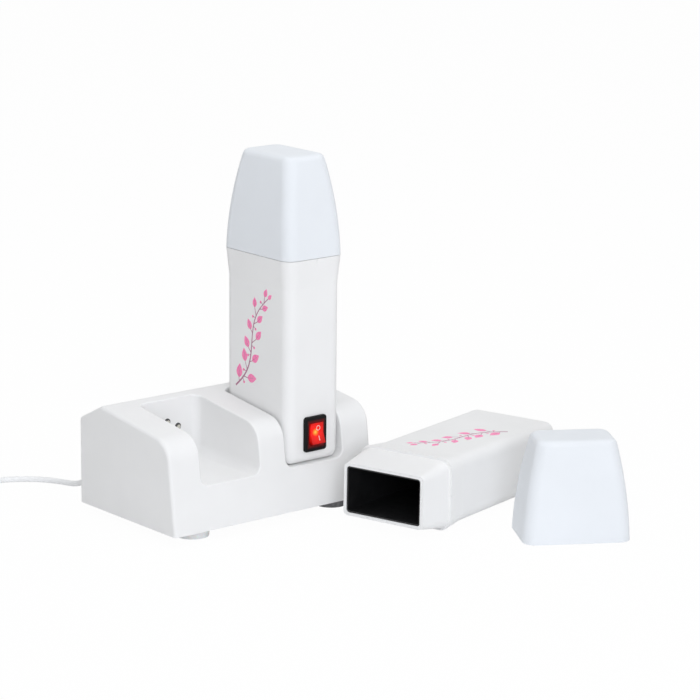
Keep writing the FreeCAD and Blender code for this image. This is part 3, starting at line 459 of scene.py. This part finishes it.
def finish_nodes():
    """Gives every CAD node the finish of its slot in the record, and returns the finishes."""
    finishes = {slot: moulded_plastic(*looks).material for slot, looks in PLASTICS.items()}
    finishes |= {
        "foot_pale": pale_foot(),
        "foot_dark": rubber("dark_foot", (0.09, 0.09, 0.093)),
        "tie_black": rubber("tie_rubber", (0.02, 0.02, 0.021)),
        "screw_steel": brushed("screw_steel", (0.56, 0.56, 0.57), 0.34, lines=(1, 1, 40)),
        "plate_aluminium": brushed("plate_aluminium", (0.72, 0.72, 0.73), 0.4, lines=(1, 30, 1)),
        "contact_metal": bright_metal("contact_metal", (0.8, 0.78, 0.7)),
        "pin_nickel": bright_metal("pin_nickel", (0.66, 0.65, 0.62)),
        "element_silicone": silicone(),
        "lamp_glass": lamp_glass(),
        "rocker_red": rocker_plastic("rocker_unlit"),
    }
    slots = {part["node"]: part["material_slot"] for part in record["subparts"]}
    for name, node in frame["nodes"].items():
        node.data.materials.clear()
        node.data.materials.append(finishes[slots[name]])
    # The docked heater is switched on.
    lit = rocker_plastic("rocker_lit", ROCKERS["a"] @ GLOW_SPOT)
    frame["nodes"]["rocker_a"].data.materials[0] = lit
    frame["nodes"]["switch_housing_a"].data.materials[0] = lit_housing()
    return finishes


# ---------------------------------------------------------------- mains cord

CORD_DIAMETER = 4.0 * MM
CORD_EXIT = Vector((-55.0, 71.15, 0)) * MM
# In millimetres from the exit, out of the boot, down to the table and round to the coil.
CORD_STEPS = [
    (0, 0, 12), (0, 10, 12), (-0.3, 21.3, 6.9), (-1.8, 32, 2), (-6, 45, 2), (-14.5, 59, 2),
    (-29, 71, 2), (-48, 77.5, 2), (-68, 80, 2), (-88.5, 75.5, 2),
]
COIL_SPOT = Vector((-160.0, 108.0, 0)) * MM
COIL_RADIUS = 22.0 * MM
COIL_ROWS = 4
COIL_BOTTOM = 2.8 * MM
COIL_STEPS = 16
# The last steps of each turn, over which it moves on to the place of the next turn.
COIL_SHIFT = 5
PLUG_LEVEL = 7.0 * MM
PLUG_LEAD = 26.0 * MM


def coil_points(outside):
    """The turns, wound inwards along the table and outwards again on top, each a diameter apart."""
    radii = [outside - row * CORD_DIAMETER for row in range(COIL_ROWS)]
    turns = [(radius, COIL_BOTTOM) for radius in radii]
    turns += [(radius, COIL_BOTTOM + CORD_DIAMETER) for radius in reversed(radii)]
    # The spline cuts inside its control points, so these lie a little further out.
    swell = 1 / math.cos(math.pi / COIL_STEPS)
    points = []
    for index in range(len(turns) * COIL_STEPS + COIL_STEPS // 4):
        turn, step = divmod(index, COIL_STEPS)
        radius, level = turns[min(turn, len(turns) - 1)]
        next_radius, next_level = turns[min(turn + 1, len(turns) - 1)]
        share = max(0.0, (step - COIL_STEPS + COIL_SHIFT) / COIL_SHIFT)
        radius = between((radius, next_radius), share) * swell
        level = between((level, next_level), share)
        angle = math.pi / 2 + 2 * math.pi * index / COIL_STEPS
        points.append(COIL_SPOT + Vector((*(spoke(angle) * radius), level)))
    return points


def cord_points():
    strand = [CORD_EXIT + Vector(step) * MM for step in CORD_STEPS]
    outside = COIL_RADIUS + CORD_DIAMETER * (COIL_ROWS - 1) / 2
    plug = Vector((COIL_SPOT.x - outside, COIL_SPOT.y, PLUG_LEVEL))
    lead = [plug - Vector((0, PLUG_LEAD * share, 0)) for share in (0, 0.5, 1)]
    return [DOCK @ point for point in strand + coil_points(outside) + lead]


def make_cord(sheath):
    points = cord_points()
    data = bpy.data.curves.new("mains_lead", "CURVE")
    data.dimensions = "3D"
    spline = data.splines.new("NURBS")
    spline.points.add(len(points) - 1)
    for control, point in zip(spline.points, points):
        control.co = (*point, 1)
    spline.order_u = 3
    spline.use_endpoint_u = True
    spline.resolution_u = 6
    data.bevel_depth = CORD_DIAMETER / 2
    data.bevel_resolution = 4
    data.use_fill_caps = True
    data.materials.append(sheath)
    lead = placed("mains_lead", data)
    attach(lead, "base")
    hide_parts("mains_cord", "cord_coil", "plug_lead")


# ---------------------------------------------------------------- ribbed boot of the cord

BOOT_RADII = (4.6 * MM, 3.0 * MM)
BOOT_COLLAR = 5.0 * MM
BOOT_NECK_RADIUS = 2.6 * MM
BOOT_RIBS = 6
BOOT_FACETS = 40
# Each rib's pitch, in shares: where its groove and its full thickness start and end.
GROOVE_SPAN = (0.1, 0.4)
RIB_SPAN = (0.5, 1)
GROOVE_DEPTH = 0.9 * MM
GROOVE_FLOOR = CORD_DIAMETER / 2 + 0.2 * MM


def boot_profile(length, neck):
    """Pairs of radius and place along the boot: neck in the wall, collar, ribs and open end."""
    thick = BOOT_RADII[0]
    pairs = [(0, -neck), (BOOT_NECK_RADIUS, -neck), (BOOT_NECK_RADIUS, 0)]
    pairs += [(thick, 0), (thick, BOOT_COLLAR)]
    pitch = (length - BOOT_COLLAR) / BOOT_RIBS
    for rib in range(BOOT_RIBS):
        for span, depth in ((GROOVE_SPAN, GROOVE_DEPTH), (RIB_SPAN, 0)):
            for share in span:
                place = BOOT_COLLAR + (rib + share) * pitch
                radius = between(BOOT_RADII, place / length) - depth
                pairs.append((max(radius, GROOVE_FLOOR), place))
    return pairs + [(CORD_DIAMETER / 2, length), (0, length)]


def turned_mesh(name, pairs):
    """A closed form turned about +Z from pairs of radius and height, from axis to axis."""
    mesh = bmesh.new()
    rings = []
    for radius, height in pairs[1:-1]:
        angles = (2 * math.pi * step / BOOT_FACETS for step in range(BOOT_FACETS))
        rings.append([mesh.verts.new((*(spoke(angle) * radius), height)) for angle in angles])
    for one, two in zip(rings, rings[1:]):
        for step in range(BOOT_FACETS):
            after = (step + 1) % BOOT_FACETS
            mesh.faces.new((one[step], one[after], two[after], two[step]))
    for ring, (_, height) in ((rings[0], pairs[0]), (rings[-1], pairs[-1])):
        tip = mesh.verts.new((0, 0, height))
        for step in range(BOOT_FACETS):
            mesh.faces.new((ring[step], ring[(step + 1) % BOOT_FACETS], tip))
    return outward(name, mesh)


def make_boot(sheath):
    low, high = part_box("strain_relief")
    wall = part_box("base_housing")[1].y
    data = turned_mesh("cord_boot", boot_profile(high.y - wall, wall - low.y))
    middle = Vector(((low.x + high.x) / 2, wall, (low.z + high.z) / 2))
    data.transform(Matrix.Translation(middle) @ Matrix.Rotation(-math.pi / 2, 4, "X"))
    data.materials.append(sheath)
    boot = placed("cord_boot", data)
    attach(boot, "base")
    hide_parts("strain_relief")


# ---------------------------------------------------------------- cross recesses in the screw heads

RECESS_DEPTH = 1.1 * MM
RECESS_REACH = 1.45 * MM
RECESS_ARM = 0.42 * MM
RECESS_TAPER = 0.6
# How far the cutter stands over the head, how thick a slice of the head counts as its face, and
# how near to each other the mesh's corners are joined before the cut.
CUTTER_OVER = 0.3 * MM
FACE_SLICE = 0.05 * MM
WELD_REACH = 0.001 * MM


def joined_groups(mesh):
    """The vertices of a mesh, in groups that hang together."""
    left = set(mesh.verts)
    groups = []
    while left:
        group, edge = set(), {left.pop()}
        while edge:
            group |= edge
            edge = {end.other_vert(vert) for vert in edge for end in vert.link_edges} - group
        left -= group
        groups.append(group)
    return groups


def head_places(mesh, out):
    """For each screw, the middle of its head's face, with +Z turned to `out`."""
    turn = out.to_track_quat("Z", "Y").to_matrix().to_4x4()
    places = []
    for group in joined_groups(mesh):
        top = max(vert.co.dot(out) for vert in group)
        rim = [vert.co for vert in group if top - vert.co.dot(out) < FACE_SLICE]
        places.append(Matrix.Translation(sum(rim, Vector()) / len(rim)) @ turn)
    return places


def cross_outline(scale):
    """The twelve corners of an upright cross."""
    reach, arm = RECESS_REACH * scale, RECESS_ARM * scale
    corners = [Vector((reach, -arm)), Vector((reach, arm)), Vector((arm, arm))]
    return [turned(corner, 90 * quarter) for quarter in range(4) for corner in corners]


def recess_cutter(name, places):
    """A tapering cross for each place, from a little over the head's face down into it."""
    mesh = bmesh.new()
    for place in places:
        rings = []
        for level, scale in ((CUTTER_OVER, 1), (-RECESS_DEPTH, RECESS_TAPER)):
            corners = [place @ Vector((*corner, level)) for corner in cross_outline(scale)]
            rings.append([mesh.verts.new(corner) for corner in corners])
        for ring in rings:
            mesh.faces.new(ring)
        upper, lower = rings
        for index in range(len(upper)):
            after = (index + 1) % len(upper)
            mesh.faces.new((upper[index], upper[after], lower[after], lower[index]))
    return placed(name, outward(name, mesh))


def cross_screws(node, out, body, steel):
    """The screws of a CAD node, with a cross recess cut into each head."""
    name = f"{node}_crossed"
    mesh = bmesh.new()
    mesh.from_mesh(frame["nodes"][node].data)
    bmesh.ops.remove_doubles(mesh, verts=mesh.verts, dist=WELD_REACH)
    places = head_places(mesh, out)
    data = bpy.data.meshes.new(name)
    mesh.to_mesh(data)
    mesh.free()
    screws = placed(name, data)
    cutter = recess_cutter(f"{node}_cutter", places)
    cut = screws.modifiers.new("recess", "BOOLEAN")
    cut.operation = "DIFFERENCE"
    cut.solver = "EXACT"
    cut.object = cutter
    evaluated = screws.evaluated_get(bpy.context.evaluated_depsgraph_get())
    screws.data = bpy.data.meshes.new_from_object(evaluated)
    screws.modifiers.clear()
    bpy.data.objects.remove(cutter)
    screws.data.materials.clear()
    screws.data.materials.append(steel)
    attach(screws, body)
    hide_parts(node)


# ---------------------------------------------------------------- thin layers of ink

INK_THICKNESS = 0.04 * MM
STEM_INK_THICKNESS = 0.064 * MM


def ink_layer(name, outlines, place, body, ink, thickness=INK_THICKNESS):
    """Closed outlines in a plane, as a thin layer that stands up from it."""
    mesh = bmesh.new()
    for outline in outlines:
        low = [mesh.verts.new((*point, 0)) for point in outline]
        high = [mesh.verts.new((*point, thickness)) for point in outline]
        mesh.faces.new(low)
        mesh.faces.new(high)
        for index, vert in enumerate(low):
            after = (index + 1) % len(low)
            mesh.faces.new((vert, high[index], high[after], low[after]))
    data = outward(name, mesh)
    data.transform(place)
    data.materials.append(ink)
    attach(placed(name, data), body)


# ---------------------------------------------------------------- on and off marks

# From the middle of the rocker: along its slope, and to the side of its length.
MARK_REACH = 3.6 * MM
MARK_ASIDE = 1.1 * MM
RING_RADII = (1.35 * MM, 1.8 * MM)
RING_PIECES = 24
BAR_SIZE = (0.55 * MM, 3.3 * MM)


def ring_pieces(inner, outer):
    """A ring, as four-sided pieces side by side."""
    pieces = []
    for index in range(RING_PIECES):
        one, two = (spoke(2 * math.pi * (index + step) / RING_PIECES) for step in (0, 1))
        pieces.append([one * inner, one * outer, two * outer, two * inner])
    return pieces


def make_marks(side, ink):
    """The ring on the rocker's upper face and the bar on its lower one."""
    width, height = BAR_SIZE
    bar = [Vector((x * width / 2, y * height / 2)) for x, y in ((-1, -1), (1, -1), (1, 1), (-1, 1))]
    valley = Matrix.Translation((0, -ROCKER_VALLEY, 0)) @ Matrix.Rotation(math.pi / 2, 4, "X")
    for name, outlines, way in (("off", ring_pieces(*RING_RADII), 1), ("on", [bar], -1)):
        slope = Matrix.Rotation(way * ROCKER_TILT, 4, "X")
        spot = Matrix.Translation((MARK_ASIDE, way * MARK_REACH, 0))
        place = ROCKERS[side] @ valley @ slope @ spot
        ink_layer(f"mark_{name}_{side}", outlines, place, f"rocker_{side}", ink)


# ---------------------------------------------------------------- printed sprig

# On the heater's broad face: across it from its middle, and up from the heater's bottom end.
SPRIG_FOOT = Vector((22.5, 47.0)) * MM
SPRIG_TOP = Vector((-13.0, 114.0)) * MM
SPRIG_SWAY = 5.0 * MM
STEM_STEPS = 24
STEM_WIDTHS = (1.28 * MM, 0.64 * MM)
BUD_LENGTH = 5.0 * MM
BUD_WIDTH = 3.0 * MM
# Pairs go from the stem's foot to its top; angles are from the stem's direction, in degrees.
LEAF_COUNT = 11
LEAF_SPAN = (0.06, 0.93)
LEAF_ANGLES = (58, 40)
LEAF_LENGTHS = (10.6 * MM, 6.2 * MM)
LEAF_SLIMNESS = 0.62
LEAF_DROOP = 14
LEAF_BELLY = 0.8
LEAF_STEPS = 10
# The twigs that carry the leaves, taken in turns.
TWIG_LENGTHS = (2.8 * MM, 4.3 * MM, 5.8 * MM)
TWIG_WIDTHS = (0.72 * MM, 0.48 * MM)
VEIN_WIDTHS = (0.42 * MM, 0.15 * MM)
VEIN_REACH = 0.7
# A berry hangs a little below its leaf, on a stalk of its own.
BERRY_RADIUS = 1.0 * MM
BERRY_STEPS = 14
BERRY_DROP = 0.02
BERRY_ANGLE = 112
STALK_LENGTHS = (3.4 * MM, 2.8 * MM)
STALK_WIDTHS = (0.48 * MM, 0.4 * MM)
# Half of the short stretch over which the stem's direction is taken.
STEM_NUDGE = 0.01


def stem_point(share):
    """A point of the stem, which sways once to each side between its ends."""
    chord = SPRIG_TOP - SPRIG_FOOT
    aside = Vector((-chord.y, chord.x)).normalized()
    return SPRIG_FOOT + chord * share + aside * SPRIG_SWAY * math.sin(2 * math.pi * share)


def stem_direction(share):
    return (stem_point(share + STEM_NUDGE) - stem_point(share - STEM_NUDGE)).normalized()


def ribbon(points, widths):
    """The outline of a tapering line through some points."""
    left, right = [], []
    last = len(points) - 1
    for index, point in enumerate(points):
        ahead = points[min(index + 1, last)] - points[max(index - 1, 0)]
        aside = Vector((-ahead.y, ahead.x)).normalized() * between(widths, index / last) / 2
        left.append(point + aside)
        right.append(point - aside)
    return left + right[::-1]


def leaf(foot, direction, length, width):
    """A pointed oval with its widest place nearer to its foot."""
    aside = Vector((-direction.y, direction.x))
    one, other = [], []
    for step in range(LEAF_STEPS + 1):
        share = step / LEAF_STEPS
        middle = foot + direction * length * share
        half = aside * width / 2 * math.sin(math.pi * share ** LEAF_BELLY)
        one.append(middle + half)
        other.append(middle - half)
    return one + other[-2:0:-1]


def berry(middle):
    angles = [2 * math.pi * step / BERRY_STEPS for step in range(BERRY_STEPS)]
    return [middle + spoke(angle) * BERRY_RADIUS for angle in angles]


def sprig_outlines():
    """A swaying stem with a bud on top; leaves by turns on its sides, and berries under most."""
    stem = [stem_point(step / STEM_STEPS) for step in range(STEM_STEPS + 1)]
    stems = [ribbon(stem, STEM_WIDTHS)]
    blobs = [leaf(stem_point(1), stem_direction(1), BUD_LENGTH, BUD_WIDTH)]
    for index in range(LEAF_COUNT):
        share = between(LEAF_SPAN, index / (LEAF_COUNT - 1))
        side = 1 if index % 2 else -1
        kind = index % len(TWIG_LENGTHS)
        foot = stem_point(share)
        direction = turned(stem_direction(share), side * between(LEAF_ANGLES, share))
        knee = foot + direction * TWIG_LENGTHS[kind]
        length = between(LEAF_LENGTHS, share)
        along = turned(direction, -side * LEAF_DROOP)
        stems.append(ribbon([foot, knee], TWIG_WIDTHS))
        stems.append(ribbon([knee, knee + along * length * VEIN_REACH], VEIN_WIDTHS))
        blobs.append(leaf(knee, along, length, length * LEAF_SLIMNESS))
        if kind:
            start = stem_point(share - BERRY_DROP)
            hanging = turned(stem_direction(share), side * BERRY_ANGLE)
            middle = start + hanging * between(STALK_LENGTHS, share)
            stems.append(ribbon([start, middle], STALK_WIDTHS))
            blobs.append(berry(middle))
    return stems, blobs


def make_print(side, stem_ink, leaf_ink):
    """The sprig as two thin layers of ink on the heater's printed face, stems over leaves."""
    face = Matrix(((0, 0, -1, -HEATER_THICKNESS / 2), (1, 0, 0, 0), (0, 1, 0, 0), (0, 0, 0, 1)))
    stems, blobs = sprig_outlines()
    place, body = HEATERS[side] @ face, f"heater_{side}"
    ink_layer(f"sprig_leaves_{side}", blobs, place, body, leaf_ink)
    ink_layer(f"sprig_stems_{side}", stems, place, body, stem_ink, STEM_INK_THICKNESS)


# ---------------------------------------------------------------- floor, world and lamps

FLOOR_SIZE = 30
FLOOR_DROP = 0.2 * MM
FLOOR_PAPER = (0.88, 0.88, 0.88, 1)
FLOOR_WHITE = 0.975
WORLD_LIGHT = 0.48

# Name, place and target in metres in the dock's frame, diameter, power in watts, and colour.
LAMPS = (
    ("front", (-0.9, -1.6, 0.5), (0.0, -0.05, 0.08), 1.0, 13.2, (0.92, 0.945, 1.0)),
    ("high", (0.5, -1.1, 1.7), (0.05, -0.05, 0.08), 1.6, 6.6, (0.96, 0.975, 1.0)),
    ("top", (0.0, 0.2, 1.8), (0.05, 0.0, 0.08), 1.2, 9.0, (0.96, 0.975, 1.0)),
)


def plain_tree(holder):
    holder.use_nodes = True
    holder.node_tree.nodes.clear()
    return holder.node_tree


def seen_directly(tree):
    """1 for rays from the camera, and those that gloss or clear pieces send on; otherwise 0."""
    path = tree.nodes.new("ShaderNodeLightPath")
    seen = path.outputs["Is Camera Ray"]
    for name in ("Is Glossy Ray", "Is Transmission Ray"):
        either = tree.nodes.new("ShaderNodeMath")
        either.operation = "MAXIMUM"
        tree.links.new(seen, either.inputs[0])
        tree.links.new(path.outputs[name], either.inputs[1])
        seen = either.outputs[0]
    return seen


def make_floor():
    """A wide floor that looks white and keeps a faint shadow."""
    bpy.ops.mesh.primitive_plane_add(size=FLOOR_SIZE, location=DOCK @ (-UP * FLOOR_DROP))
    floor = bpy.context.object
    floor.name = "floor"
    material = bpy.data.materials.new("floor")
    tree = plain_tree(material)
    paper = tree.nodes.new("ShaderNodeBsdfDiffuse")
    paper.inputs["Color"].default_value = FLOOR_PAPER
    glow = tree.nodes.new("ShaderNodeEmission")
    share = tree.nodes.new("ShaderNodeMath")
    share.operation = "MULTIPLY"
    share.inputs[1].default_value = FLOOR_WHITE
    tree.links.new(seen_directly(tree), share.inputs[0])
    blend = tree.nodes.new("ShaderNodeMixShader")
    tree.links.new(share.outputs[0], blend.inputs[0])
    tree.links.new(paper.outputs[0], blend.inputs[1])
    tree.links.new(glow.outputs[0], blend.inputs[2])
    out = tree.nodes.new("ShaderNodeOutputMaterial")
    tree.links.new(blend.outputs[0], out.inputs["Surface"])
    floor.data.materials.append(material)


def make_world():
    """An even white surround, which looks white and lights the object more dimly."""
    world = bpy.data.worlds.new("studio")
    tree = plain_tree(world)
    light = tree.nodes.new("ShaderNodeBackground")
    light.inputs["Color"].default_value = (1, 1, 1, 1)
    strength = tree.nodes.new("ShaderNodeMapRange")
    strength.inputs["To Min"].default_value = WORLD_LIGHT
    strength.inputs["To Max"].default_value = 1.0
    tree.links.new(seen_directly(tree), strength.inputs["Value"])
    tree.links.new(strength.outputs["Result"], light.inputs["Strength"])
    out = tree.nodes.new("ShaderNodeOutputWorld")
    tree.links.new(light.outputs[0], out.inputs["Surface"])
    bpy.context.scene.world = world


def make_lamp(name, spot, target, size, power, colour):
    data = bpy.data.lights.new(name, "AREA")
    data.shape = "DISK"
    data.size = size
    data.energy = power
    data.color = colour
    lamp = placed(name, data)
    place = DOCK @ Vector(spot)
    lamp.location = place
    lamp.rotation_euler = (DOCK @ Vector(target) - place).to_track_quat("-Z", "Y").to_euler()


# ---------------------------------------------------------------- the scene

bpy.context.scene.view_settings.view_transform = "Standard"
make_camera()
finishes = finish_nodes()
sheath, steel = finishes["cord_sheath"], finishes["screw_steel"]
make_boot(sheath)
make_cord(sheath)
stem_ink = print_ink("stem_ink", (0.44, 0.14, 0.26))
leaf_ink = print_ink("leaf_ink", (0.98, 0.165, 0.44))
glow_tinted_ink = mark_ink_with_painted_glow()
cross_screws("cover_screws", -UP, "base", steel)
for side in HEATERS:
    screwed_face = HEATERS[side].to_3x3().col[0]
    cross_screws(f"case_screws_{side}", screwed_face, f"heater_{side}", steel)
    make_print(side, stem_ink, leaf_ink)
    make_marks(side, glow_tinted_ink)
make_floor()
make_world()
for lamp in LAMPS:
    make_lamp(*lamp)
